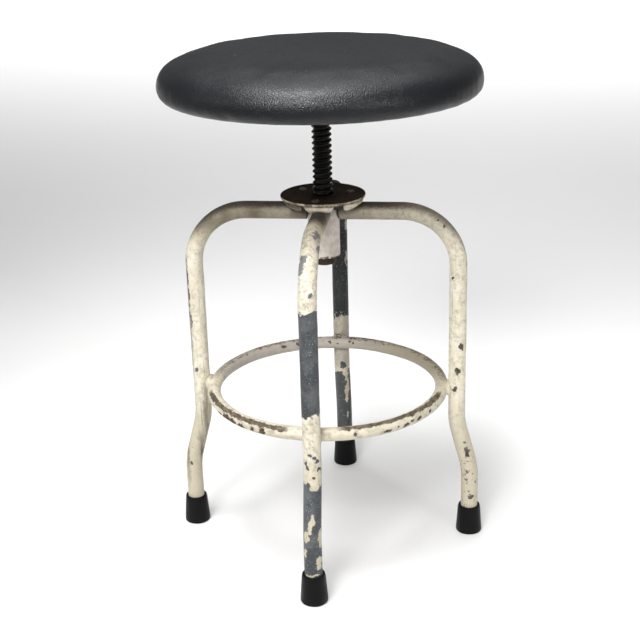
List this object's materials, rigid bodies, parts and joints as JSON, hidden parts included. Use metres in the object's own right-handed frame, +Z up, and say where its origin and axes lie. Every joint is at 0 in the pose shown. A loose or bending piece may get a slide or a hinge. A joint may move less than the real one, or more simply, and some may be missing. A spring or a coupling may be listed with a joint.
{
  "type": "pedicure stool",
  "caption": "Round padded stool whose seat turns on a screw spindle to change height, over bent tube legs tied by a foot ring and shod in rubber feet.",
  "frame": {"origin": "on the floor, at the centre of the circle through the four feet", "axes": "+Z up along the spindle; -Y towards the front leg; +X towards the right leg, seen from the front"},
  "size_m": [0.3686, 0.3686, 0.584],
  "materials": {
    "leg_paint": "old gloss cream enamel, chipped to slate-grey undercoat and brown rust",
    "ring_paint": "old cream enamel, worn through along the top where feet rest",
    "weld_paint": "thick grey-cream paint over lumpy brazing",
    "hub_paint": "dull pinkish grey paint, mottled",
    "nut_steel": "dark oiled steel",
    "plate_steel": "very dark brown worn top, cream painted edge",
    "rusty_steel": "dull brown rust",
    "zinc_steel": "satin zinc",
    "spindle_black": "glossy black, greased",
    "flange_iron": "satin black japanned casting",
    "foot_rubber": "soft-sheen black moulded rubber",
    "plywood": "raw plywood",
    "foam": "upholstery foam",
    "seat_vinyl": "near-black fine-grained vinyl, soft sheen"
  },
  "bodies": {
    "frame": {"leg_front": "leg_paint", "leg_right": "leg_paint", "leg_back": "leg_paint", "leg_left": "leg_paint", "foot_ring": "ring_paint", "arm_saddle_front": "weld_paint", "arm_saddle_right": "weld_paint", "arm_saddle_back": "weld_paint", "arm_saddle_left": "weld_paint", "foot_front": "foot_rubber", "foot_right": "foot_rubber", "foot_back": "foot_rubber", "foot_left": "foot_rubber", "hub_sleeve": "hub_paint", "hub_nut": "nut_steel", "hub_plate": "plate_steel", "plate_screw_1": "plate_steel", "plate_screw_2": "plate_steel", "plate_screw_3": "plate_steel"},
    "washer": {"thrust_washer": "rusty_steel"},
    "seat": {"stop_collar": "rusty_steel", "collar_pin": "zinc_steel", "spindle": "spindle_black", "seat_flange": "flange_iron", "flange_pin": "zinc_steel", "seat_screw_1": "zinc_steel", "seat_screw_2": "zinc_steel", "seat_screw_3": "zinc_steel", "seat_screw_4": "zinc_steel", "seat_board": "plywood", "seat_foam": "foam", "seat_cover": "seat_vinyl"}
  },
  "joints": [
    {"name": "seat_lift", "type": "slide", "parent": "frame", "child": "washer", "axis": [0, 0, 1], "range_m": [-0.0922, 0.0176]},
    {"name": "seat_spin", "type": "hinge", "parent": "washer", "child": "seat", "pos_m": [0, 0, 0.45], "axis": [0, 0, 1], "range_deg": [-5220, 990]}
  ],
  "couplings": [
    {"joint": "seat_lift", "follows": "seat_spin", "m_per_rad": 0.0010106}
  ]
}
